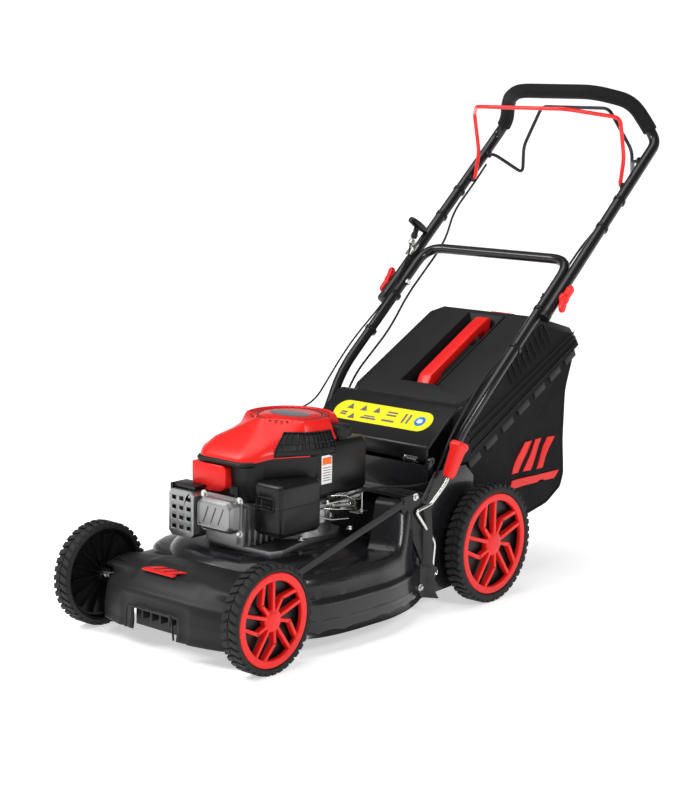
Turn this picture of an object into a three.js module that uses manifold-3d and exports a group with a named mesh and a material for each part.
// A self-propelled petrol lawn mower with a rear bag, built as it comes apart on a bench.
// Units are millimetres, +Z is up, the front points along -Y and the mower's left is +X.
import * as THREE from 'three';
import { mergeVertices } from 'three/addons/utils/BufferGeometryUtils.js';
import Module from 'manifold-3d';

const wasm = await Module();
wasm.setup();

// ---------------------------------------------------------------- driving dimensions
const CLEAR = 0.4; // gap between pieces that touch or turn in each other
const SHEET = 2; // pressed steel of the deck
const PLASTIC = 3; // wall of the moulded covers

const TRACK = 450; // between the middles of the left and right tyres
const WHEELBASE = 662;
const TYRE_WIDTH = 40;
const FRONT_WHEEL = { radius: 102, rim: 88, y: -WHEELBASE / 2 };
const REAR_WHEEL = { radius: 123.5, rim: 105, y: WHEELBASE / 2 };
const WHEEL_FACETS = 24; // the flat of one facet stands on the ground
const AXLE_RADIUS = 6;
const HUB_RADIUS = 16;

const CRANK_ARM = 41.6; // from each axle's pivot to its wheel
const CRANK_TILT = THREE.MathUtils.degToRad(9.7); // the arms' slope at the stored height
const RING_TEETH = 30;
const PINION_TEETH = 10;

const DECK_HALF_WIDTH = 238;
const DECK_RIM_Z = 35;
const DECK_BEAD_Z = 100;
const DECK_TOP_Z = 150;
const DOME_Z = 168; // top of the raised seat under the engine
const HUMP_Z = 240; // top of the raised rear of the deck
const SIDE_PLATE_X = 192; // outer face of the deck's rear side plates

const ENGINE_Y = -33; // crankshaft axis
const BLADE_LENGTH = 455;
const BLADE_Z = 56;
const BELT_Z = 134;
const CRANKSHAFT_RADIUS = 12;
const DRIVE_PULLEY_RADIUS = 25;
const GEARBOX_PULLEY_RADIUS = 40;
const GEARBOX_X = -140;

const LOWER_TUBE = 22; // diameter of the lower handle's tube
const UPPER_TUBE = 24;
const TUBE_WALL = 1.5;
const LOWER_HALF_WIDTH = 197; // to the middle of a lower leg
const FOLD = { y: 555, z: 613 }; // bolt that the upper handle folds about
const HANDLE_SLOPE = THREE.MathUtils.degToRad(41); // legs above the horizontal
const CROSSBAR_REACH = 111; // from the fold bolt up to the lower handle's crossbar
const UPPER_TAIL = 60; // upper leg below the fold bolt
const UPPER_REACH = 490; // upper leg above the fold bolt, to its bend
const FOAM_THICKNESS = 4;
const BAIL_RED = 9;
const BAIL_BLACK = 8;

const BAG_HALF_WIDTH = 186;
const BAG_FRONT_Y = 296;
const RAIL_SLOPE = 0.535; // the bag's rail rises by this for each unit to the rear
const RAIL_Z = 283; // the rail's height at the bag's front
const FABRIC = 3;

// ---------------------------------------------------------------- derived sizes
const UPPER_HALF_WIDTH = LOWER_HALF_WIDTH + LOWER_TUBE / 2 + CLEAR + UPPER_TUBE / 2;
const CRANK_Y = CRANK_ARM * Math.cos(CRANK_TILT);
const CRANK_Z = CRANK_ARM * Math.sin(CRANK_TILT);
const FRONT_PIVOT = { y: FRONT_WHEEL.y + CRANK_Y, z: FRONT_WHEEL.radius - CRANK_Z };
const REAR_PIVOT = { y: REAR_WHEEL.y - CRANK_Y, z: REAR_WHEEL.radius - CRANK_Z };
const GEAR_MODULE = (2 * CRANK_ARM) / (RING_TEETH - PINION_TEETH);
const ARM_X = (SIDE_PLATE_X + TRACK / 2 - TYRE_WIDTH / 2) / 2;
const WHEEL_INNER_X = TRACK / 2 - TYRE_WIDTH / 2;
const LEVER_PIVOT = { y: 178, z: 87 };

const UP_Y = Math.cos(HANDLE_SLOPE);
const UP_Z = Math.sin(HANDLE_SLOPE);
// A point on the handle's slope, at a distance above the fold bolt and off the slope.
const onHandle = (x, along, off = 0) =>
  new THREE.Vector3(x, FOLD.y + along * UP_Y - off * UP_Z, FOLD.z + along * UP_Z + off * UP_Y);

// ---------------------------------------------------------------- finishes
const finish = (color, roughness, metalness = 0) =>
  new THREE.MeshStandardMaterial({ color, roughness, metalness });
const blackSteel = finish(0x101113, 0.3, 0.2);
const blackPlastic = finish(0x1c1d1f, 0.6);
const redPlastic = finish(0xd8201c, 0.35);
const redPaint = finish(0xc81e1a, 0.3, 0.2);
const rubber = finish(0x151515, 0.85);
const foam = finish(0x1a1a1b, 0.9);
const castAluminium = finish(0xa9abad, 0.45, 0.9);
const zinc = finish(0xc4c5c2, 0.3, 1);
const darkSteel = finish(0x3a3a3c, 0.4, 0.9);
const brass = finish(0xb9a15a, 0.4, 1);
const fabric = finish(0x18181a, 0.95);

// ---------------------------------------------------------------- solids
function signedVolume(geometry) {
  const p = geometry.attributes.position;
  const index = geometry.index.array;
  const a = new THREE.Vector3();
  const b = new THREE.Vector3();
  const c = new THREE.Vector3();
  let sum = 0;
  for (let i = 0; i < index.length; i += 3) {
    a.fromBufferAttribute(p, index[i]);
    b.fromBufferAttribute(p, index[i + 1]);
    c.fromBufferAttribute(p, index[i + 2]);
    sum += a.dot(b.cross(c));
  }
  return sum / 6;
}

// Shared vertices, no slivers and every face pointing out.
function closed(geometry) {
  const bare = geometry.clone();
  bare.deleteAttribute('normal');
  bare.deleteAttribute('uv');
  const welded = mergeVertices(bare, 1e-3);
  const kept = [];
  const index = welded.index.array;
  for (let i = 0; i < index.length; i += 3) {
    const [a, b, c] = [index[i], index[i + 1], index[i + 2]];
    if (a !== b && b !== c && c !== a) kept.push(a, b, c);
  }
  welded.setIndex(kept);
  if (signedVolume(welded) < 0) welded.setIndex(kept.reverse());
  return welded;
}

function toManifold(geometry) {
  const welded = closed(geometry);
  const vertProperties = new Float32Array(welded.attributes.position.array);
  const triVerts = new Uint32Array(welded.index.array);
  return new wasm.Manifold(new wasm.Mesh({ numProp: 3, vertProperties, triVerts }));
}

function fromManifold(solid) {
  const mesh = solid.getMesh();
  const geometry = new THREE.BufferGeometry();
  geometry.setAttribute('position', new THREE.BufferAttribute(mesh.vertProperties, 3));
  geometry.setIndex(Array.from(mesh.triVerts));
  return geometry;
}

function join(...geometries) {
  return fromManifold(geometries.map(toManifold).reduce((all, next) => all.add(next)));
}

function cut(base, ...tools) {
  return fromManifold(tools.map(toManifold).reduce((all, next) => all.subtract(next), toManifold(base)));
}

function common(a, b) {
  return fromManifold(toManifold(a).intersect(toManifold(b)));
}

const box = (sx, sy, sz, x, y, z) => new THREE.BoxGeometry(sx, sy, sz).translate(x, y, z);

// A box between two corners.
const span = (x0, x1, y0, y1, z0, z1) =>
  box(x1 - x0, y1 - y0, z1 - z0, (x0 + x1) / 2, (y0 + y1) / 2, (z0 + z1) / 2);

// Turns a geometry made along Y to lie along another axis.
function along(axis, geometry) {
  if (axis === 'x') return geometry.rotateZ(-Math.PI / 2);
  if (axis === 'z') return geometry.rotateX(Math.PI / 2);
  return geometry;
}

const rod = (axis, radius, length, x, y, z, sides = 16) =>
  along(axis, new THREE.CylinderGeometry(radius, radius, length, sides)).translate(x, y, z);

// A turned piece from [radius, height] pairs, from axis to axis or closed on itself.
function turned(axis, profile, sides = 24, start = 0) {
  const points = profile.map(([r, h]) => new THREE.Vector2(r, h));
  const geometry = new THREE.LatheGeometry(points, sides, start);
  if (axis === 'z') return geometry.rotateX(Math.PI / 2);
  return along(axis, geometry);
}

const ring = (axis, outer, inner, h0, h1, sides = 24) =>
  turned(axis, [[inner, h0], [outer, h0], [outer, h1], [inner, h1], [inner, h0]], sides);

function outline(points) {
  return new THREE.Shape(points.map(([a, b]) => new THREE.Vector2(a, b)));
}

// A flat piece from an outline in x and y, between two heights.
function slab(points, z0, z1) {
  const options = { depth: z1 - z0, bevelEnabled: false };
  return new THREE.ExtrudeGeometry(outline(points), options).translate(0, 0, z0);
}

// A flat piece from an outline in y and z, between two x values.
function sidePlate(points, x0, x1) {
  const geometry = slab(points, 0, x1 - x0);
  geometry.applyMatrix4(new THREE.Matrix4().set(0, 0, 1, x0, 1, 0, 0, 0, 0, 1, 0, 0, 0, 0, 0, 1));
  return geometry;
}

// A closed skin through rings of equally many points.
function loft(rings) {
  const n = rings[0].length;
  const points = rings.flat();
  const index = [];
  for (let r = 0; r + 1 < rings.length; r += 1) {
    for (let i = 0; i < n; i += 1) {
      const a = r * n + i;
      const b = r * n + ((i + 1) % n);
      index.push(a, b, b + n, a, b + n, a + n);
    }
  }
  for (let i = 1; i + 1 < n; i += 1) {
    const top = (rings.length - 1) * n;
    index.push(0, i + 1, i, top, top + i, top + i + 1);
  }
  const geometry = new THREE.BufferGeometry();
  geometry.setAttribute('position', new THREE.Float32BufferAttribute(points.flat(), 3));
  geometry.setIndex(index);
  return geometry;
}

// A polyline's corners rounded by short arcs.
function rounded(points, radius, steps = 4) {
  const result = [points[0].clone()];
  for (let i = 1; i + 1 < points.length; i += 1) {
    const back = points[i - 1].clone().sub(points[i]);
    const on = points[i + 1].clone().sub(points[i]);
    const reach = Math.min(radius, back.length() * 0.45, on.length() * 0.45);
    const a = points[i].clone().addScaledVector(back.normalize(), reach);
    const b = points[i].clone().addScaledVector(on.normalize(), reach);
    const bend = new THREE.QuadraticBezierCurve3(a, points[i], b);
    result.push(...bend.getPoints(steps));
  }
  result.push(points[points.length - 1].clone());
  return result;
}

// A route that an extrusion follows point by point.
class Route extends THREE.Curve {
  constructor(points) {
    super();
    this.points = points;
  }

  getSpacedPoints() {
    return this.points;
  }

  getTangentAt(u, target = new THREE.Vector3()) {
    const last = this.points.length - 1;
    const i = Math.round(u * last);
    const before = this.points[Math.max(i - 1, 0)];
    const here = this.points[i];
    const after = this.points[Math.min(i + 1, last)];
    const arriving = here.clone().sub(before).normalize();
    const leaving = after.clone().sub(here).normalize();
    return target.copy(arriving).add(leaving).normalize();
  }
}

// A bar, or a tube with a bore, along a polyline with rounded corners.
function bar(points, diameter, { bend = 30, bore = 0, sides = 10, steps = 4 } = {}) {
  const route = new Route(rounded(points, bend, steps));
  const shape = new THREE.Shape().absarc(0, 0, diameter / 2, 0, Math.PI * 2);
  if (bore) shape.holes.push(new THREE.Path().absarc(0, 0, bore / 2, 0, Math.PI * 2, true));
  const options = { steps: route.points.length - 1, extrudePath: route, curveSegments: sides / 2 };
  return new THREE.ExtrudeGeometry(shape, options);
}

const at = (x, y, z) => new THREE.Vector3(x, y, z);

// Turns a geometry made along +Z to point another way from a place.
function aimed(geometry, place, way) {
  const turn = new THREE.Quaternion().setFromUnitVectors(at(0, 0, 1), way);
  return geometry.applyQuaternion(turn).translate(place.x, place.y, place.z);
}

const mirrored = (points) => [...points, ...points.map((p) => at(-p.x, p.y, p.z)).reverse()];

const model = new THREE.Group();

function part(name, geometry, material, parent = model) {
  const mesh = new THREE.Mesh(closed(geometry), material);
  mesh.name = name;
  parent.add(mesh);
  return mesh;
}

// ---------------------------------------------------------------- wheels
function tyre(wheel) {
  const flat = wheel.radius / Math.cos(Math.PI / WHEEL_FACETS);
  const half = TYRE_WIDTH / 2;
  const seat = wheel.rim + CLEAR;
  const profile = [
    [seat, -half + 2],
    [flat - 9, -half],
    [flat, -half + 7],
    [flat, half - 7],
    [flat - 9, half],
    [seat, half - 2],
    [seat, -half + 2],
  ];
  return turned('x', profile, WHEEL_FACETS, Math.PI / WHEEL_FACETS);
}

// A window between each two of the five double spokes.
function spokeWindows(wheel) {
  const inner = HUB_RADIUS + 12;
  const outer = wheel.rim - 11;
  return [0, 1, 2, 3, 4].map((i) => {
    const centre = (i * 2 * Math.PI) / 5;
    const corners = [[inner, -0.34], [outer, -0.42], [outer, 0.42], [inner, 0.34]]
      .map(([r, turn]) => [r * Math.cos(centre + turn), r * Math.sin(centre + turn)]);
    return sidePlate(corners, -5, 20);
  });
}

function rim(wheel) {
  const half = TYRE_WIDTH / 2 - 2;
  const bed = wheel.rim - 5;
  const bore = AXLE_RADIUS + CLEAR;
  const profile = [
    [0, half],
    [HUB_RADIUS, half],
    [HUB_RADIUS, half - 8],
    [bed, half - 8],
    [bed, half],
    [wheel.rim, half],
    [wheel.rim, -half],
    [bed, -half],
    [bed, half - 14],
    [HUB_RADIUS, half - 14],
    [HUB_RADIUS, -half],
    [bore, -half],
    [bore, half - 4],
    [0, half - 4],
  ];
  const blank = turned('x', profile, WHEEL_FACETS, Math.PI / WHEEL_FACETS);
  return cut(blank, ...spokeWindows(wheel));
}

// The toothed ring inside a driven wheel, with one gap facing the pinion.
function ringGear(side) {
  const pitch = (GEAR_MODULE * RING_TEETH) / 2;
  const points = [];
  for (let i = 0; i < RING_TEETH * 2; i += 1) {
    const r = i % 2 ? pitch - 0.6 * GEAR_MODULE : pitch + 0.8 * GEAR_MODULE;
    const turn = (Math.PI * i) / RING_TEETH + pinionDirection(side);
    points.push([r * Math.cos(turn), r * Math.sin(turn)]);
  }
  const half = TYRE_WIDTH / 2 - 2;
  const wall = ring('x', pitch + 1.7 * GEAR_MODULE, pitch - 2 * GEAR_MODULE, -half, half - 12, WHEEL_FACETS);
  return cut(wall, sidePlate(points, -half - 5, half - 13));
}

// From a rear wheel's middle towards its pinion, seen in that wheel's own frame.
const pinionDirection = (side) => (side > 0 ? Math.PI + CRANK_TILT : -CRANK_TILT);

function pinion(side) {
  const pitch = (GEAR_MODULE * PINION_TEETH) / 2;
  const points = [];
  const profile = [[-0.24, -0.65], [-0.05, 0.42], [0.05, 0.42], [0.24, -0.65]];
  for (let i = 0; i < PINION_TEETH; i += 1) {
    for (const [share, height] of profile) {
      const turn = ((i + share) * 2 * Math.PI) / PINION_TEETH + Math.PI + CRANK_TILT;
      const r = pitch + height * GEAR_MODULE;
      points.push([r * Math.cos(turn), r * Math.sin(turn)]);
    }
  }
  const inner = side * (WHEEL_INNER_X + 3);
  const outer = side * (WHEEL_INNER_X + 13);
  const blank = sidePlate(points, Math.min(inner, outer), Math.max(inner, outer));
  const placed = blank.translate(0, REAR_PIVOT.y, REAR_PIVOT.z);
  return cut(placed, rod('x', 5 + CLEAR, 60, side * WHEEL_INNER_X, REAR_PIVOT.y, REAR_PIVOT.z, 12));
}

function addWheel(name, wheel, side) {
  const group = new THREE.Group();
  group.position.set((side * TRACK) / 2, wheel.y, wheel.radius);
  group.rotation.z = side > 0 ? 0 : Math.PI;
  model.add(group);
  const driven = wheel === REAR_WHEEL;
  const body = driven ? join(rim(wheel), ringGear(side)) : rim(wheel);
  part(`${name}_wheel_rim`, body, redPlastic, group);
  part(`${name}_tyre`, tyre(wheel), rubber, group);
}

// ---------------------------------------------------------------- height adjustment
const STUB_X = TRACK / 2 + TYRE_WIDTH / 2 - 8;

function frontAxle() {
  const { y, z } = FRONT_PIVOT;
  const path = mirrored([
    at(STUB_X, FRONT_WHEEL.y, FRONT_WHEEL.radius),
    at(ARM_X, FRONT_WHEEL.y, FRONT_WHEEL.radius),
    at(ARM_X, y, z),
  ]);
  const cranked = bar(path, AXLE_RADIUS * 2, { bend: 8, steps: 2, sides: 8 });
  const linkArm = [[y - 9, z - 6], [y + 9, z - 6], [y - 17, z + 44], [y - 29, z + 40]];
  return join(cranked, sidePlate(linkArm, SIDE_PLATE_X - 0.5, SIDE_PLATE_X + 3.5));
}

function rearAxle() {
  const { y, z } = REAR_PIVOT;
  const through = rod('x', AXLE_RADIUS, STUB_X * 2, 0, REAR_WHEEL.y, REAR_WHEEL.radius, 10);
  const arms = [1, -1].map((side) => {
    const x = side * ARM_X;
    const plate = join(
      rod('x', 13, 6, x, y, z, 12),
      rod('x', 13, 6, x, REAR_WHEEL.y, REAR_WHEEL.radius, 12),
      box(6, CRANK_ARM, 18, 0, 0, 0).rotateX(CRANK_TILT)
        .translate(x, (y + REAR_WHEEL.y) / 2, (z + REAR_WHEEL.radius) / 2),
    );
    return cut(plate, rod('x', 5 + CLEAR, 20, x, y, z, 10));
  });
  return join(through, ...arms);
}

function driveShaft() {
  return rod('x', 5, (WHEEL_INNER_X + 15) * 2, 0, REAR_PIVOT.y, REAR_PIVOT.z, 12);
}

const GRIP_BASE = new THREE.Vector3(SIDE_PLATE_X + 21, 200, 268);
const GRIP_WAY = new THREE.Vector3(4, 22, 50).normalize();

function leverPlate() {
  const { y, z } = LEVER_PIVOT;
  const corners = [
    [y + 12, z - 8], [y + 14, z + 10], [y - 44, z + 168], [y - 98, z + 166], [y - 102, z + 150], [y - 16, z - 2],
  ];
  const x = SIDE_PLATE_X + 1;
  return cut(sidePlate(corners, x, x + 3), rod('x', 4 + CLEAR, 20, x, y, z, 12));
}

function leverRod() {
  const x = SIDE_PLATE_X + 4 + 3.6;
  const { y, z } = LEVER_PIVOT;
  const path = [
    at(SIDE_PLATE_X - SHEET - 3, y, z), at(x, y, z), at(x, y + 7, z + 59), at(x, y - 57, z + 132),
    at(x + 2, y - 12, z + 140), GRIP_BASE, GRIP_BASE.clone().addScaledVector(GRIP_WAY, 56),
  ];
  return bar(path, 8, { bend: 9, steps: 2, sides: 6 });
}

function leverGrip() {
  const body = loft([
    rectangle(8, 9, 10, 3), rectangle(11, 12, 20, 4), rectangle(12, 15, 66, 4), rectangle(15, 18, 78, 4),
    rectangle(13, 14, 86, 4),
  ]);
  const bored = cut(body, rod('z', 4 + CLEAR * 2, 60, 0, 0, 30, 8));
  return aimed(bored, GRIP_BASE, GRIP_WAY);
}

// A ring of eight points: a rectangle with cut corners, at one height.
function rectangle(halfX, halfY, z, corner, x = 0, y = 0) {
  const c = Math.min(corner, halfX * 0.9, halfY * 0.9);
  const ringPoints = [
    [halfX, -halfY + c], [halfX, halfY - c], [halfX - c, halfY], [-halfX + c, halfY],
    [-halfX, halfY - c], [-halfX, -halfY + c], [-halfX + c, -halfY], [halfX - c, -halfY],
  ];
  return ringPoints.map(([px, py]) => [px + x, py + y, z]);
}

function heightLink() {
  const x = SIDE_PLATE_X + 4.4;
  const rear = [LEVER_PIVOT.y - 92, LEVER_PIVOT.z + 155];
  const front = [FRONT_PIVOT.y - 23, FRONT_PIVOT.z + 39];
  const angle = Math.atan2(rear[1] - front[1], rear[0] - front[0]);
  const nx = -Math.sin(angle) * 7;
  const nz = Math.cos(angle) * 7;
  const corners = [
    [front[0] - nx, front[1] - nz], [rear[0] - nx, rear[1] - nz],
    [rear[0] + nx, rear[1] + nz], [front[0] + nx, front[1] + nz],
  ];
  const strip = sidePlate(corners, x, x + 3);
  const eyes = [rear, front].map(([y, z]) => rod('x', 9, 3, x + 1.5, y, z, 12));
  const head = rod('x', 5, 3, x + 4, rear[0], rear[1], 8);
  return join(strip, ...eyes, head);
}

// ---------------------------------------------------------------- deck
const HOUSING = [
  [90, -284], [150, -266], [197, -235], [224, -190], [236, -130], [238, -60],
  [238, 0], [226, 65], [208, 115], [190, 150], [190, 178],
];

// The housing's plan as one loop, drawn in towards its middle.
function housingRing(inset, z, rear = 0) {
  const side = HOUSING.map(([x, y]) => {
    const share = 1 - inset / DECK_HALF_WIDTH;
    return [x * share, (y + 50) * share - 50 + rear * (y > 150 ? 1 : 0)];
  });
  const left = side.map(([x, y]) => [x, y, z]);
  const right = side.map(([x, y]) => [-x, y, z]).reverse();
  return [...left, ...right];
}

function housing(extra) {
  return loft([
    housingRing(extra, DECK_RIM_Z - extra),
    housingRing(extra, DECK_BEAD_Z - 6),
    housingRing(extra + 7, DECK_BEAD_Z),
    housingRing(extra + 9, DECK_TOP_Z - 18 - extra),
    housingRing(extra + 22, DECK_TOP_Z - extra),
  ]);
}

const circleRing = (radius, z, y, sides = 18, x = 0) =>
  Array.from({ length: sides }, (_, i) => {
    const turn = (i * 2 * Math.PI) / sides;
    return [x + radius * Math.cos(turn), y + radius * Math.sin(turn), z];
  });

function deckDome(extra) {
  const y = ENGINE_Y - 55;
  return loft([
    circleRing(196 - extra, DECK_TOP_Z - 12 - extra, y),
    circleRing(184 - extra, DOME_Z - 8 - extra, y),
    circleRing(168 - extra, DOME_Z - extra, y),
  ]);
}

// The raised rear, which leads the cut grass up into the bag.
function deckHump(extra, rear) {
  const half = SIDE_PLATE_X - extra;
  const top = HUMP_Z - extra;
  const profile = [
    [92 + extra, DECK_TOP_Z - 30], [104 + extra, top - 40], [122 + extra, top - 8], [142 + extra, top], [rear, top],
    [rear, DECK_TOP_Z - 30],
  ];
  return sidePlate(profile, -half, half);
}

function deckFront(extra) {
  return span(-176 + extra, 176 - extra, -338 + extra, -210, 60 - extra * 20, 140 - extra);
}

const DECK_REAR_Y = 290;

function deckShell() {
  const sidePanel = [
    [148, DECK_RIM_Z], [299, DECK_RIM_Z + 6], [299, 160], [318, 185], [318, 262], [290, 288], [190, 288], [148, 236],
  ];
  const rearSides = sidePlate(sidePanel, -SIDE_PLATE_X, SIDE_PLATE_X);
  const inside = SIDE_PLATE_X - SHEET;
  const sides = cut(rearSides, span(-inside, inside, 0, 500, 0, 400));
  const outer = join(housing(0), deckDome(0), deckHump(0, DECK_REAR_Y), deckFront(0));
  const inner = join(
    housing(SHEET),
    deckDome(SHEET),
    deckHump(SHEET, DECK_REAR_Y + 20),
    deckFront(SHEET),
    span(-inside, inside, 150, 400, 0, DECK_TOP_Z - 20),
  );
  const shell = join(cut(outer, inner), sides);
  const holes = [
    rod('z', 48, 60, 0, ENGINE_Y, DOME_Z, 24),
    rod('x', AXLE_RADIUS + CLEAR, 420, 0, FRONT_PIVOT.y, FRONT_PIVOT.z, 12),
    rod('x', 5 + CLEAR, 420, 0, REAR_PIVOT.y, REAR_PIVOT.z, 12),
    rod('x', 4 + CLEAR, 40, SIDE_PLATE_X, LEVER_PIVOT.y, LEVER_PIVOT.z, 12),
  ];
  return join(cut(shell, ...holes), rearPanel());
}

function frontCoverShape(extra) {
  const plan = [
    [186, -252], [186, -345], [164, -368], [120, -386], [60, -397],
    [-60, -397], [-120, -386], [-164, -368], [-186, -345], [-186, -252],
  ];
  const level = (inset, z, lift = 0) => plan.map(([x, y]) => [
    x * (1 - (inset + extra) / 186),
    y < -252 ? y + inset + extra : y,
    z + lift * (y + 400) / 148,
  ]);
  return loft([
    level(0, DECK_RIM_Z - extra),
    level(2, 118),
    level(8, 140 - extra),
    level(20, 153 - extra, 10),
  ]);
}

function frontCover() {
  const shell = cut(frontCoverShape(0), frontCoverShape(PLASTIC), span(-183, 183, -256, -200, 0, 154));
  const seatClear = join(
    deckDome(-1.5),
    housing(-1.2),
    span(-177.5, 177.5, -340, -200, 20, 141.5),
    span(-250, 250, -252, -180, 0, 151.5),
  );
  const arch = sidePlate([[-420, 20], [-420, 80], [-360, 84], [-360, 20]], -66, 56);
  const rodHole = rod('x', AXLE_RADIUS + CLEAR * 2, 420, 0, FRONT_PIVOT.y, FRONT_PIVOT.z, 12);
  return cut(shell, seatClear, arch, rodHole);
}

function dischargeChute() {
  const x0 = -38;
  const x1 = SIDE_PLATE_X - SHEET - 10;
  const wallTop = HUMP_Z - SHEET - CLEAR - 0.4;
  const outer = [
    [172, 60], [196, 66], [262, 136], [292, 138], [292, wallTop], [150, wallTop], [150, 150], [172, 120],
  ];
  const inner = [
    [150, 63], [194, 69], [260, 140], [310, 142], [310, wallTop - PLASTIC], [120, wallTop - PLASTIC], [120, 150],
    [150, 120],
  ];
  return cut(sidePlate(outer, x0, x1), sidePlate(inner, x0 + PLASTIC, x1 - PLASTIC));
}

const HINGE = { y: 205, z: 304, radius: 4 };

// The upright at the rear of the deck, with the ears that the flap's rod passes through.
function rearPanel() {
  const z0 = HUMP_Z - SHEET;
  const front = span(-172, 172, HINGE.y - 14, HINGE.y - 9, z0, HINGE.z - 8);
  const foot = span(-172, 172, HINGE.y - 14, HINGE.y + 20, z0, z0 + 4);
  const ears = [-168, 168].map((x) => join(
    rod('x', 8, 8, x, HINGE.y, HINGE.z),
    span(x - 4, x + 4, HINGE.y - 14, HINGE.y + 4, z0, HINGE.z - 2),
  ));
  const pins = rod('x', HINGE.radius + CLEAR, 400, 0, HINGE.y, HINGE.z, 12);
  return cut(join(front, foot, ...ears), pins);
}

function dischargeFlap() {
  const half = 163 - CLEAR * 2;
  const skin = [
    [HINGE.y - 6, HINGE.z], [HINGE.y - 8, HINGE.z + 26], [HINGE.y + 4, HINGE.z + 32], [HINGE.y + 92, HINGE.z + 98],
    [HINGE.y + 108, HINGE.z + 100], [HINGE.y + 108, HINGE.z + 95], [HINGE.y + 94, HINGE.z + 93],
    [HINGE.y + 8, HINGE.z + 28], [HINGE.y - 2, HINGE.z + 22], [HINGE.y + 2, HINGE.z],
  ];
  const body = sidePlate(skin, -half, half);
  const barrel = rod('x', 7, half * 2, 0, HINGE.y, HINGE.z);
  const pin = rod('x', HINGE.radius, 172 * 2, 0, HINGE.y, HINGE.z, 12);
  return join(body, barrel, pin);
}

// ---------------------------------------------------------------- engine
const FLANGE_Z = DOME_Z + CLEAR;

function crankcase() {
  const plan = [
    [-96, -150], [-60, -196], [40, -200], [104, -196], [112, -170], [96, -110], [88, 10], [60, 52], [-40, 66],
    [-80, 84], [-106, 72], [-98, 30],
  ];
  const flange = slab(plan, FLANGE_Z, FLANGE_Z + 9);
  const body = turned('z', [[0, FLANGE_Z], [88, FLANGE_Z], [84, 192], [76, 206], [76, 246], [0, 246]], 20);
  const ribs = [0, 1, 2, 3, 4, 5].map((i) => box(6, 84, 40, 0, 42, 188).rotateZ((i * Math.PI) / 3 + 0.4));
  const placed = [body, ...ribs].map((g) => g.translate(0, ENGINE_Y, 0));
  const neck = rod('z', 12, 62, -88, 64, FLANGE_Z + 31);
  const boss = rod('z', 42, 16, 0, ENGINE_Y, FLANGE_Z - 4, 20);
  const solid = join(flange, ...placed, neck, boss);
  const bore = rod('z', CRANKSHAFT_RADIUS + CLEAR, 300, 0, ENGINE_Y, 200, 16);
  const fill = rod('z', 7, 80, -88, 64, 225, 8);
  return cut(solid, bore, fill);
}

function cylinder() {
  const core = span(-34, 44, -226, ENGINE_Y - 84 - CLEAR * 4, 186, 252);
  const fins = [];
  for (let y = -218; y < -122; y += 16) fins.push(span(-46, 53, y, y + 5, 180, 257));
  return join(core, ...fins);
}

function rockerCover() {
  const flange = cut(
    span(-42, 62, -231, -226.4, 206, 278),
    rod('y', 3, 20, -37, -228, 211, 8),
    rod('y', 3, 20, 57, -228, 273, 8),
  );
  const lid = loft([
    rectangle(46, 31, 0, 10), rectangle(46, 31, 17, 10), rectangle(40, 25, 24, 10),
  ]).rotateX(Math.PI / 2).translate(11, -230, 242);
  return join(flange, lid);
}

function muffler() {
  const body = loft([
    rectangle(23, 46, 190, 12), rectangle(26, 48, 198, 12), rectangle(26, 48, 250, 12), rectangle(23, 46, 258, 12),
  ]).translate(-86, -172, 0);
  const pipe = rod('x', 11, 16, -46 - CLEAR - 8, -150, 226, 12);
  return join(body, pipe);
}

function mufflerGuard() {
  const faceOf = (grow, y0, y1) => loft([
    rectangle(34 + grow, 46 + grow, -y0, 8), rectangle(34 + grow, 46 + grow, -y1, 8),
  ]).rotateX(Math.PI / 2).translate(-90, 0, 228);
  const tray = cut(faceOf(0, -242, -192), faceOf(-2, -238, -170));
  const slots = [];
  for (let row = 0; row < 4; row += 1) {
    for (let column = 0; column < 3; column += 1) {
      slots.push(box(12, 20, 8, -110 + column * 20, -240, 200 + row * 19));
    }
  }
  return cut(tray, ...slots, span(-58, -40, -200, -100, 215, 250));
}

// The engine's plan: round over the flywheel and drawn out to the front.
function enginePlan(radius, front, z, nose = { left: 56, right: -104 }) {
  const points = [];
  for (let i = 0; i <= 10; i += 1) {
    const turn = THREE.MathUtils.degToRad(-30 + (i * 240) / 10);
    points.push([radius * Math.cos(turn), ENGINE_Y + radius * Math.sin(turn), z]);
  }
  points.push([nose.right, front + 24, z], [nose.right + 20, front, z]);
  points.push([nose.left - 24, front, z], [nose.left, front + 20, z]);
  return points;
}

const HOUSING_Z = 262; // floor of the blower housing
const HOUSING_TOP = 344;
const AIR_BOX = { x0: 57.5, x1: 130.5, y0: -195.5, y1: -80.5, z0: 206, z1: 307 };

function blowerHousing() {
  const outer = loft([enginePlan(108, -186, HOUSING_Z), enginePlan(112, -190, HOUSING_TOP)]);
  const inner = loft([enginePlan(105, -183, HOUSING_Z + PLASTIC), enginePlan(109, -187, HOUSING_TOP + 20)]);
  const eye = rod('z', 60, 40, 0, ENGINE_Y, HOUSING_Z);
  const filterSpace = span(AIR_BOX.x0 - CLEAR, 160, -220, AIR_BOX.y1 + CLEAR, 200, AIR_BOX.z1 + CLEAR);
  return cut(outer, inner, eye, tankSpace(CLEAR), filterSpace);
}

function tankSpace(grow) {
  return span(TANK.x0 - grow, 140, TANK.y0 - grow, 140, 200, 420);
}

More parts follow.
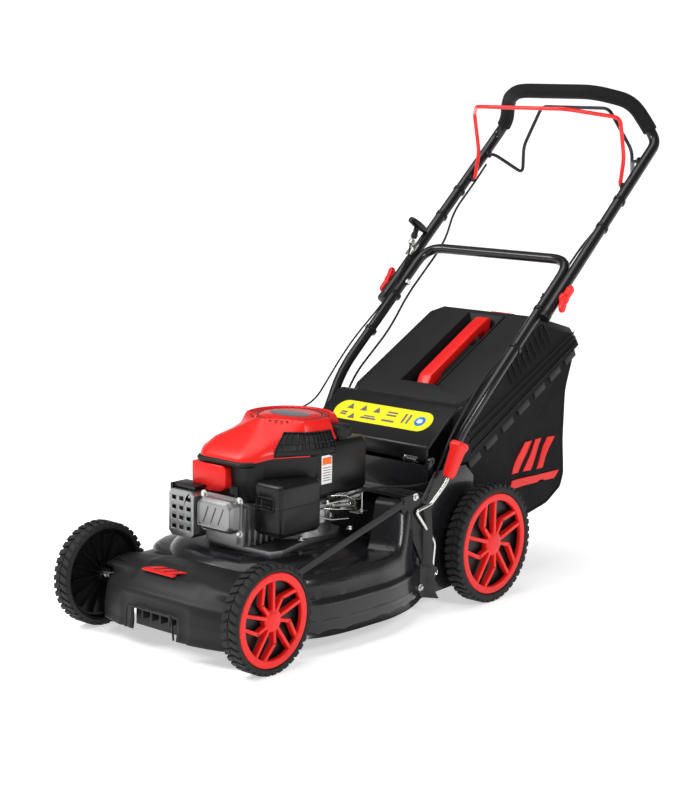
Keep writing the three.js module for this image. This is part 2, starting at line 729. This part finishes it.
function engineCover() {
  const z = HOUSING_TOP + CLEAR;
  const nose = { left: 52, right: -102 };
  const outer = loft([
    enginePlan(113, -200, z, nose),
    enginePlan(111, -192, z + 12, nose),
    enginePlan(101, -150, z + 38, { left: 44, right: -70 }),
    enginePlan(93, -124, z + 58, { left: 30, right: -40 }),
    enginePlan(88, -116, z + 66, { left: 26, right: -34 }),
  ]);
  const inner = loft([
    enginePlan(110, -197, z - 10, nose),
    enginePlan(108, -188, z + 9, nose),
    enginePlan(98, -147, z + 35, { left: 42, right: -68 }),
    enginePlan(88, -120, z + 55, { left: 28, right: -38 }),
    enginePlan(85, -113, z + 63, { left: 24, right: -32 }),
  ]);
  const apron = cut(
    span(-100, -8, -203, -194, 276, z + 8),
    span(-96, -12, -190, -180, 260, z + 8),
  );
  const spindle = rod('z', 7, 36, 0, ENGINE_Y, z + 47, 12);
  const shell = join(cut(outer, inner), apron, spindle);
  const ropeHole = rod('y', 5, 80, ROPE_X, 62, ROPE_Z, 8);
  return cut(shell, ropeHole, tankSpace(CLEAR));
}

const ROPE_Z = 362;
const REEL_RADIUS = 44;
const ROPE_X = -REEL_RADIUS - 2.6; // the rope leaves the reel along this line

function ropeReel() {
  const z = ROPE_Z;
  const profile = [
    [7 + CLEAR, z - 7], [52, z - 7], [52, z - 4], [REEL_RADIUS, z - 3], [REEL_RADIUS, z + 3], [52, z + 4], [52, z + 7],
    [7 + CLEAR, z + 7], [7 + CLEAR, z - 7],
  ];
  return turned('z', profile, 16).translate(0, ENGINE_Y, 0);
}

function airFilterBox() {
  const { x0, x1, y0, y1, z0, z1 } = AIR_BOX;
  const halfX = (x1 - x0) / 2;
  const halfY = (y1 - y0) / 2;
  const body = loft([
    rectangle(halfX - 4, halfY - 5, z0, 6), rectangle(halfX, halfY, z0 + 8, 6), rectangle(halfX, halfY, z1 - 6, 6),
    rectangle(halfX - 4, halfY - 4, z1, 6),
  ]).translate((x0 + x1) / 2, (y0 + y1) / 2, 0);
  return cut(body, span(80, 108, y0 - 3, y0 + 5, 258, 276));
}

function carburettor() {
  const bowl = rod('z', 14, 26, 100, -56, 226);
  const throat = rod('y', 12, 38, 100, -60, 246, 16);
  return join(bowl, throat);
}

function fuelTank() {
  const { x0, x1, y0, y1, z0, z1 } = TANK;
  const body = loft([
    rectangle((x1 - x0) / 2 - 4, (y1 - y0) / 2 - 4, z0, 14),
    rectangle((x1 - x0) / 2, (y1 - y0) / 2, z0 + 8, 14),
    rectangle((x1 - x0) / 2, (y1 - y0) / 2, z1 - 10, 14),
    rectangle((x1 - x0) / 2 - 6, (y1 - y0) / 2 - 6, z1, 14),
  ]).translate((x0 + x1) / 2, (y0 + y1) / 2, 0);
  const neck = rod('z', 14, 20, TANK_NECK.x, TANK_NECK.y, z1 + 4, 16);
  return cut(join(body, neck), rod('z', 11, 60, TANK_NECK.x, TANK_NECK.y, z1, 16));
}

const TANK = { x0: 68, x1: 111, y0: -76, y1: 83, z0: 262, z1: 366 };
const TANK_NECK = { x: 89, y: 14 };

function fuelCap() {
  const z = TANK.z1 + 6;
  const profile = [
    [14 + CLEAR, z], [22, z], [24, z + 5], [24, z + 17], [20, z + 22], [0, z + 22], [0, z + 10], [14 + CLEAR, z + 10],
    [14 + CLEAR, z],
  ];
  const cap = turned('z', profile, 20);
  return cap.translate(TANK_NECK.x, TANK_NECK.y, 0);
}

function oilCap() {
  const z = FLANGE_Z + 62 + CLEAR;
  const head = rod('z', 15, 10, -88, 64, z + 5, 12);
  const grip = box(24, 7, 12, -88, 64, z + 15);
  const stick = rod('z', 4, 44, -88, 64, z - 18, 6);
  return join(head, grip, stick);
}

function sparkPlug() {
  const body = rod('z', 8, 14, 24, -212, 257 + CLEAR + 7, 6);
  const boot = rod('z', 9, 26, 24, -212, 282, 8);
  return join(body, boot);
}

// ---------------------------------------------------------------- turning parts
function crankshaft() {
  const z0 = BLADE_Z + 10;
  const z1 = HOUSING_TOP - 6;
  const shaft = rod('z', CRANKSHAFT_RADIUS, z1 - z0, 0, ENGINE_Y, (z0 + z1) / 2, 12);
  return cut(shaft, rod('z', 5 + CLEAR, 24, 0, ENGINE_Y, z0, 8));
}

function flywheel() {
  const bore = CRANKSHAFT_RADIUS + CLEAR;
  const profile = [
    [bore, 286], [62, 286], [62, 298], [26, 304], [26, 334], [bore, 334], [bore, 286],
  ];
  const disc = turned('z', profile, 20);
  const vanes = Array.from({ length: 6 }, (_, i) => box(36, 3, 28, 42, 0, 310).rotateZ((i * Math.PI) / 3));
  return join(disc, ...vanes).translate(0, ENGINE_Y, 0);
}

function bladeAdapter() {
  const bore = CRANKSHAFT_RADIUS + CLEAR;
  const z = BLADE_Z + 2 + CLEAR;
  const groove = DRIVE_PULLEY_RADIUS;
  const profile = [
    [bore, z + 7], [bore, BELT_Z + 9], [groove + 6, BELT_Z + 9], [groove, BELT_Z + 3], [groove, BELT_Z - 3],
    [groove + 6, BELT_Z - 9], [19, BELT_Z - 9], [19, z + 8], [32, z + 8], [32, z], [6, z], [6, z + 7],
    [bore, z + 7],
  ];
  return turned('z', profile, 16).translate(0, ENGINE_Y, 0);
}

function blade() {
  const half = BLADE_LENGTH / 2;
  const middle = slab(
    [[-half, -26], [half, -26], [half, 26], [-half, 26]],
    BLADE_Z - 2,
    BLADE_Z + 2,
  );
  const wings = [1, -1].map((side) => sideWing(side, half));
  const bar3 = join(middle, ...wings).rotateZ(0.5);
  return cut(bar3.translate(0, ENGINE_Y, 0), rod('z', 5 + CLEAR, 30, 0, ENGINE_Y, BLADE_Z, 8));
}

// The turned-up trailing edge at one end of the blade, which lifts the grass.
function sideWing(side, half) {
  const wing = slab([[half - 75, 20], [half, 20], [half, 40], [half - 60, 40]], -2, 2);
  const lifted = wing.translate(0, -22, 0).rotateX(0.5).translate(0, 22, BLADE_Z);
  return side > 0 ? lifted : lifted.rotateZ(Math.PI);
}

function bladeBolt() {
  const shank = rod('z', 5, 22, 0, ENGINE_Y, BLADE_Z + 3, 8);
  const head = rod('z', 12, 8, 0, ENGINE_Y, BLADE_Z - 2 - CLEAR - 4, 6);
  const washer = rod('z', 16, 3, 0, ENGINE_Y, BLADE_Z - 2 - CLEAR - 1.5, 12);
  return join(shank, head, washer);
}

function gearbox() {
  const { y, z } = REAR_PIVOT;
  const top = BELT_Z - 10;
  const body = loft([
    rectangle(24, 26, z - 20, 6), rectangle(27, 30, z - 12, 6), rectangle(27, 30, top, 6),
  ]).translate(GEARBOX_X, y - 4, 0);
  const collar = common(rod('x', 14, 74, GEARBOX_X, y, z - 6, 12), span(-300, 0, 0, 400, 0, top));
  const input = rod('z', 6 + CLEAR * 2, 60, GEARBOX_X, GEARBOX_PULLEY_Y, BELT_Z, 8);
  return cut(join(body, collar), rod('x', 5 + CLEAR, 120, GEARBOX_X, y, z, 10), input);
}

const GEARBOX_PULLEY_Y = REAR_PIVOT.y - 22;

function gearboxPulley() {
  const r = GEARBOX_PULLEY_RADIUS;
  const z = BELT_Z;
  const profile = [
    [0, z - 22], [6, z - 22], [6, z - 8], [r + 5, z - 8], [r, z - 3], [r, z + 3], [r + 5, z + 8], [0, z + 8],
  ];
  return turned('z', profile, 20).translate(GEARBOX_X, GEARBOX_PULLEY_Y, 0);
}

// One loop round the two pulleys, with its flat inner face just off their grooves.
function driveBelt() {
  const a = { x: 0, y: ENGINE_Y, r: DRIVE_PULLEY_RADIUS };
  const b = { x: GEARBOX_X, y: GEARBOX_PULLEY_Y, r: GEARBOX_PULLEY_RADIUS };
  const heading = Math.atan2(b.y - a.y, b.x - a.x);
  const spread = Math.acos((a.r - b.r) / Math.hypot(b.x - a.x, b.y - a.y));
  const loop = (grow) => {
    const points = [];
    for (let i = 0; i <= 8; i += 1) {
      const turn = heading - spread + (i / 8) * 2 * spread;
      points.push([b.x + (b.r + grow) * Math.cos(turn), b.y + (b.r + grow) * Math.sin(turn)]);
    }
    for (let i = 0; i <= 8; i += 1) {
      const turn = heading + spread + (i / 8) * 2 * (Math.PI - spread);
      points.push([a.x + (a.r + grow) * Math.cos(turn), a.y + (a.r + grow) * Math.sin(turn)]);
    }
    return points;
  };
  const z0 = BELT_Z - 2.4;
  const z1 = BELT_Z + 2.4;
  return cut(slab(loop(7), z0, z1), slab(loop(1.2), z0 - 1, z1 + 1));
}

// ---------------------------------------------------------------- handle
const HANDLE_FOOT = { x: SIDE_PLATE_X - SHEET - CLEAR - LOWER_TUBE / 2, y: 240, z: 262 };

function lowerHandle() {
  const path = mirrored([
    at(HANDLE_FOOT.x, HANDLE_FOOT.y, HANDLE_FOOT.z),
    at(HANDLE_FOOT.x, HANDLE_FOOT.y + 34, HANDLE_FOOT.z + 76),
    onHandle(LOWER_HALF_WIDTH, -275),
    onHandle(LOWER_HALF_WIDTH, CROSSBAR_REACH),
  ]);
  const tubeBore = LOWER_TUBE - 2 * TUBE_WALL;
  const tube = bar(path, LOWER_TUBE, { bend: 48, bore: tubeBore, sides: 8, steps: 2 });
  return cut(tube, rod('x', 4 + CLEAR, 600, 0, FOLD.y, FOLD.z, 8));
}

function upperHandlePath() {
  return [
    onHandle(UPPER_HALF_WIDTH, -UPPER_TAIL),
    onHandle(UPPER_HALF_WIDTH, UPPER_REACH),
    at(194, FOLD.y + 372, FOLD.z + 358),
    at(170, FOLD.y + 342, FOLD.z + 410),
    at(104, FOLD.y + 288, FOLD.z + 430),
  ];
}

const BAIL_RED_PIVOT = 344; // along the slope from the fold bolt
const BAIL_BLACK_PIVOT = 427;

function upperHandle() {
  const path = mirrored(upperHandlePath());
  const tubeBore = UPPER_TUBE - 2 * TUBE_WALL;
  const tube = bar(path, UPPER_TUBE, { bend: 34, bore: tubeBore, sides: 8, steps: 1 });
  const holes = [rod('x', 4 + CLEAR, 600, 0, FOLD.y, FOLD.z, 8)];
  for (const [reach, diameter] of [[BAIL_RED_PIVOT, BAIL_RED], [BAIL_BLACK_PIVOT, BAIL_BLACK]]) {
    const p = onHandle(0, reach);
    const length = 2 * UPPER_HALF_WIDTH;
    holes.push(rod('x', diameter / 2 + CLEAR, length, 0, p.y, p.z, 10));
  }
  return cut(tube, ...holes);
}

const FLAT = Math.cos(Math.PI / 8); // an eight-sided ring's flats against its corners

function foamGrip() {
  const route = rounded(mirrored(upperHandlePath()), 34, 1);
  const covered = route.filter((p) => p.z > FOLD.z + 352);
  const options = { steps: covered.length - 1, extrudePath: new Route(covered), curveSegments: 4 };
  const shape = new THREE.Shape().absarc(0, 0, UPPER_TUBE / 2 / FLAT + FOAM_THICKNESS, 0, Math.PI * 2);
  const hollow = new THREE.Path().absarc(0, 0, UPPER_TUBE / 2 / FLAT + CLEAR, 0, Math.PI * 2, true);
  shape.holes.push(hollow);
  return new THREE.ExtrudeGeometry(shape, options);
}

const BAIL_X = UPPER_HALF_WIDTH - UPPER_TUBE / 2 - 9;

function stopBail() {
  const p = onHandle(0, BAIL_RED_PIVOT);
  const path = mirrored([
    at(UPPER_HALF_WIDTH, p.y, p.z),
    at(BAIL_X, p.y, p.z),
    at(BAIL_X, p.y + 12, p.z + 61),
    at(BAIL_X, p.y - 10, p.z + 150),
    at(120, p.y - 108, p.z + 167),
  ]);
  return bar(path, BAIL_RED, { bend: 14, steps: 2, sides: 6 });
}

function driveBail() {
  const p = onHandle(0, BAIL_BLACK_PIVOT);
  const path = mirrored([
    at(UPPER_HALF_WIDTH, p.y, p.z),
    at(BAIL_X - 8, p.y, p.z),
    at(152, p.y + 62, p.z - 44),
    at(150, p.y + 60, p.z + 20),
    at(92, p.y + 46, p.z + 114),
  ]);
  return bar(path, BAIL_BLACK, { bend: 14, steps: 2, sides: 6 });
}

// A wing nut with its bolt, which clamps the two handles together.
function wingKnob(side) {
  const outer = UPPER_HALF_WIDTH + UPPER_TUBE / 2 + CLEAR;
  const head = LOWER_HALF_WIDTH - LOWER_TUBE / 2 - CLEAR;
  const boss = rod('x', 12, 14, side * (outer + 7), 0, 0, 16);
  const wings = [1, -1].map((way) => box(9, 22, 14, side * (outer + 12), way * 19, way * 2));
  const bolt = rod('x', 4, outer - head + 4, (side * (outer + head)) / 2, 0, 0, 8);
  const bolthead = rod('x', 8, 4, side * (head - 2), 0, 0, 12);
  return join(boss, ...wings, bolt, bolthead).rotateX(0.9).translate(0, FOLD.y, FOLD.z);
}

function ropeGuide() {
  const foot = onHandle(-UPPER_HALF_WIDTH, 86, UPPER_TUBE / 2 + CLEAR + 2);
  const base = box(18, 34, 4, 0, 0, 0).rotateX(HANDLE_SLOPE).translate(foot.x, foot.y, foot.z);
  const top = onHandle(-UPPER_HALF_WIDTH, 96, UPPER_TUBE / 2 + 16);
  const loop = along('y', new THREE.CylinderGeometry(8, 8, 10, 14)).rotateX(HANDLE_SLOPE);
  const hole = along('y', new THREE.CylinderGeometry(4.4, 4.4, 40, 10)).rotateX(HANDLE_SLOPE);
  const stem = onHandle(-UPPER_HALF_WIDTH, 94, UPPER_TUBE / 2 + 8);
  const post = box(5, 10, 12, 0, 0, 0).rotateX(HANDLE_SLOPE).translate(stem.x, stem.y, stem.z);
  const eye = loop.translate(top.x, top.y, top.z);
  return cut(join(base, post, eye), hole.translate(top.x, top.y, top.z));
}

const PULL = new THREE.Vector3(0, Math.cos(THREE.MathUtils.degToRad(62)), Math.sin(THREE.MathUtils.degToRad(62)));

function starterHandle() {
  const start = onHandle(-UPPER_HALF_WIDTH, 104, UPPER_TUBE / 2 + 18);
  const tilt = THREE.MathUtils.degToRad(62) - Math.PI / 2;
  const stem = loft([
    rectangle(5, 5, 0, 2), rectangle(8, 8, 8, 3), rectangle(6, 6, 24, 2),
  ]);
  const grip = loft([
    rectangle(8, 12, 22, 5), rectangle(10, 30, 27, 6), rectangle(10, 32, 38, 6), rectangle(7, 26, 43, 5),
  ]);
  const solid = join(stem, grip).rotateX(tilt);
  return solid.translate(start.x, start.y + PULL.y * 2, start.z + PULL.z * 2);
}

// ---------------------------------------------------------------- cables and rope
const CABLE_X = LOWER_HALF_WIDTH - LOWER_TUBE / 2 - 5;
const CABLE_SPLIT = CROSSBAR_REACH + LOWER_TUBE / 2 + 15; // each cable crosses the fold here, past the crossbar

function starterRope() {
  const end = onHandle(-UPPER_HALF_WIDTH, 88, UPPER_TUBE / 2 + 15);
  return bar([
    at(ROPE_X, ENGINE_Y, ROPE_Z), at(ROPE_X, 120, ROPE_Z), at(-186, 152, ROPE_Z + 2), at(-177, 232, 374),
    at(-180, 350, 492), at(-190, 500, 590), at(-212, 590, 668), end,
  ], 4, { bend: 60, steps: 3, sides: 6 });
}

function stopCableLower() {
  const { x, y, z } = HANDLE_FOOT;
  return bar([
    at(118, -34, 250), at(134, 60, 262), at(160, 130, 262), at(x, y - 42, z), at(x, y - 18, z + 28),
    at(x, y + 18, z + 88), onHandle(CABLE_X + 3, -262, 17), onHandle(CABLE_X, -200, 2),
    onHandle(CABLE_X, -20, -18), onHandle(CABLE_X, CABLE_SPLIT - 4, -20),
  ], 5, { bend: 30, steps: 2, sides: 6 });
}

function stopCableUpper() {
  const upper = UPPER_HALF_WIDTH - UPPER_TUBE / 2 - 4;
  return bar([
    onHandle(CABLE_X, CABLE_SPLIT + 4, -20), onHandle(upper, 210, -9), onHandle(upper, BAIL_RED_PIVOT - 22, -9),
  ], 5, { bend: 30, steps: 2, sides: 6 });
}

function driveCableLower() {
  const off = -(LOWER_TUBE / 2 + 5);
  return bar([
    at(-150, 240, 250), at(-158, 262, 300), onHandle(-CABLE_X, -262, off - 8), onHandle(-CABLE_X, -120, off - 8),
    onHandle(-CABLE_X, -20, off - 2), onHandle(-CABLE_X, CABLE_SPLIT - 4, off - 4),
  ], 5, { bend: 40, steps: 2, sides: 6 });
}

function driveCableUpper() {
  const off = -(LOWER_TUBE / 2 + 9);
  const upper = -(UPPER_HALF_WIDTH - UPPER_TUBE / 2 - 4);
  return bar([
    onHandle(-CABLE_X, CABLE_SPLIT + 4, off), onHandle(upper, 210, -10), onHandle(upper, BAIL_RED_PIVOT, -11),
    onHandle(upper, BAIL_BLACK_PIVOT - 26, -9),
  ], 5, { bend: 30, steps: 2, sides: 6 });
}

// ---------------------------------------------------------------- grass bag
const railZ = (y) => RAIL_Z + (y - BAG_FRONT_Y) * RAIL_SLOPE;

function bagBody() {
  const outer = [
    [BAG_FRONT_Y, 168], [400, 150], [520, 143], [600, 160], [662, 198], [652, 290], [654, 400], [690, railZ(690)],
    [BAG_FRONT_Y, RAIL_Z],
  ];
  const inner = [
    [BAG_FRONT_Y - 40, 172], [400, 153], [520, 146], [598, 163], [658, 200], [648.5, 290], [650.5, 400],
    [686, railZ(686) + 60], [BAG_FRONT_Y - 40, RAIL_Z + 60],
  ];
  const half = BAG_HALF_WIDTH - 4;
  return cut(sidePlate(outer, -half, half), sidePlate(inner, -half + FABRIC, half - FABRIC));
}

const lidTop = (y) => railZ(y) + 103;

// One level of the lid, as a ring with cut corners between a front and a rear height.
function lidRing(half, front, rear, corner = 22) {
  const slope = (rear[1] - front[1]) / (rear[0] - front[0]);
  const middle = (front[0] + rear[0]) / 2;
  return rectangle(half, (rear[0] - front[0]) / 2, 0, corner, 0, middle)
    .map(([x, y]) => [x, y, front[1] + (y - front[0]) * slope]);
}

function lidShape(t) {
  const g = BAG_FRONT_Y - 4;
  return loft([
    lidRing(BAG_HALF_WIDTH + 2 - t, [g + t, railZ(g) + CLEAR - t * 6], [716 - t, railZ(716) + CLEAR - t * 6]),
    lidRing(BAG_HALF_WIDTH - 14 - t, [g + 12 + t, railZ(g) + 62], [712 - t, railZ(712) + 24 - t]),
    lidRing(150 - t, [g + 30 + t, lidTop(g + 30) - t], [618 - t, lidTop(618) - t]),
  ]);
}

const POCKET = { half: 46, front: 372, rear: 606, depth: 62 };

function pocket(grow, top) {
  const { half, front, rear, depth } = POCKET;
  const floor = (y) => lidTop(y) - depth - grow;
  return sidePlate([
    [front - grow, lidTop(front) + top], [front - grow, lidTop(front)], [front + 24 - grow, floor(front + 24)],
    [rear - 14 + grow, floor(rear - 14)], [rear + grow, lidTop(rear)], [rear + grow, lidTop(rear) + top],
  ], -half - grow, half + grow);
}

function bagLid() {
  const shell = cut(lidShape(0), lidShape(PLASTIC));
  const well = common(pocket(PLASTIC, 40), lidShape(0));
  return cut(join(shell, well), pocket(0, 60));
}

// The carrying handle, which bridges the lid's well from wall to wall.
function bagHandle() {
  const { front, rear } = POCKET;
  const point = (y, drop) => [y, lidTop(y) - drop];
  const outer = [
    point(front + 8, 14), point(front + 21, 46), point(front + 40, 46), point(front + 60, 16),
    point(rear - 46, 14), point(rear - 26, 18), point(rear - 20, 40), point(rear - 9, 38), point(rear - 4, 4),
    point(rear - 14, -4), point(rear - 44, -6), point(front + 22, -4),
  ];
  return sidePlate(outer, -17, 17);
}

const TAB = { x: 22, y: 650, half: 30 };

function fillIndicator() {
  const slope = Math.atan2(railZ(712) + 24 - lidTop(618), 712 - 618);
  const plate = box(TAB.half * 2, 34, 3, 0, 0, 0).rotateX(slope);
  return plate.translate(TAB.x, TAB.y, lidRearZ(TAB.y) + 2.6);
}

// The height of the lid's rear slope.
function lidRearZ(y) {
  const top = lidTop(618);
  const low = railZ(712) + 24;
  return top + ((low - top) * (y - 618)) / (712 - 618);
}

// ---------------------------------------------------------------- assembly
part('deck_shell', deckShell(), blackSteel);
part('front_cover', frontCover(), blackPlastic);
part('discharge_chute', dischargeChute(), blackPlastic);
part('discharge_flap', dischargeFlap(), blackPlastic);
part('crankcase', crankcase(), castAluminium);
part('cylinder', cylinder(), castAluminium);
part('rocker_cover', rockerCover(), castAluminium);
part('muffler', muffler(), darkSteel);
part('muffler_guard', mufflerGuard(), zinc);
part('blower_housing', blowerHousing(), blackPlastic);
part('engine_cover', engineCover(), redPlastic);
part('air_filter_box', airFilterBox(), blackPlastic);
part('carburettor', carburettor(), zinc);
part('fuel_tank', fuelTank(), blackPlastic);
part('fuel_cap', fuelCap(), blackPlastic);
part('oil_cap', oilCap(), blackPlastic);
part('spark_plug', sparkPlug(), rubber);
part('crankshaft', crankshaft(), darkSteel);
part('flywheel', flywheel(), castAluminium);
part('blade_adapter', bladeAdapter(), darkSteel);
part('blade', blade(), darkSteel);
part('blade_bolt', bladeBolt(), zinc);
part('rope_reel', ropeReel(), blackPlastic);
part('gearbox', gearbox(), blackPlastic);
part('gearbox_pulley', gearboxPulley(), darkSteel);
part('drive_belt', driveBelt(), rubber);
part('drive_shaft', driveShaft(), darkSteel);
part('front_axle', frontAxle(), zinc);
part('rear_axle', rearAxle(), zinc);
for (const [name, side] of [['left', 1], ['right', -1]]) {
  addWheel(`front_${name}`, FRONT_WHEEL, side);
  addWheel(`rear_${name}`, REAR_WHEEL, side);
  part(`pinion_${name}`, pinion(side), brass);
  part(`wing_knob_${name}`, wingKnob(side), redPlastic);
}
part('height_lever', join(leverPlate(), leverRod()), zinc);
part('lever_grip', leverGrip(), redPlastic);
part('height_link', heightLink(), blackSteel);
part('lower_handle', lowerHandle(), blackSteel);
part('upper_handle', upperHandle(), blackSteel);
part('foam_grip', foamGrip(), foam);
part('stop_bail', stopBail(), redPaint);
part('drive_bail', driveBail(), blackSteel);
part('rope_guide', ropeGuide(), zinc);
part('starter_handle', starterHandle(), blackPlastic);
part('starter_rope', starterRope(), fabric);
part('stop_cable_lower', stopCableLower(), rubber);
part('stop_cable_upper', stopCableUpper(), rubber);
part('drive_cable_lower', driveCableLower(), rubber);
part('drive_cable_upper', driveCableUpper(), rubber);
part('bag_body', bagBody(), fabric);
part('bag_lid', bagLid(), blackPlastic);
part('bag_handle', bagHandle(), redPlastic);
part('fill_indicator', fillIndicator(), redPlastic);

// The origin goes to the middle of the object's footprint, on the ground.
const bounds = new THREE.Box3().setFromObject(model);
const middle = bounds.getCenter(new THREE.Vector3());
model.position.set(-middle.x, -middle.y, -bounds.min.z);

export default model;
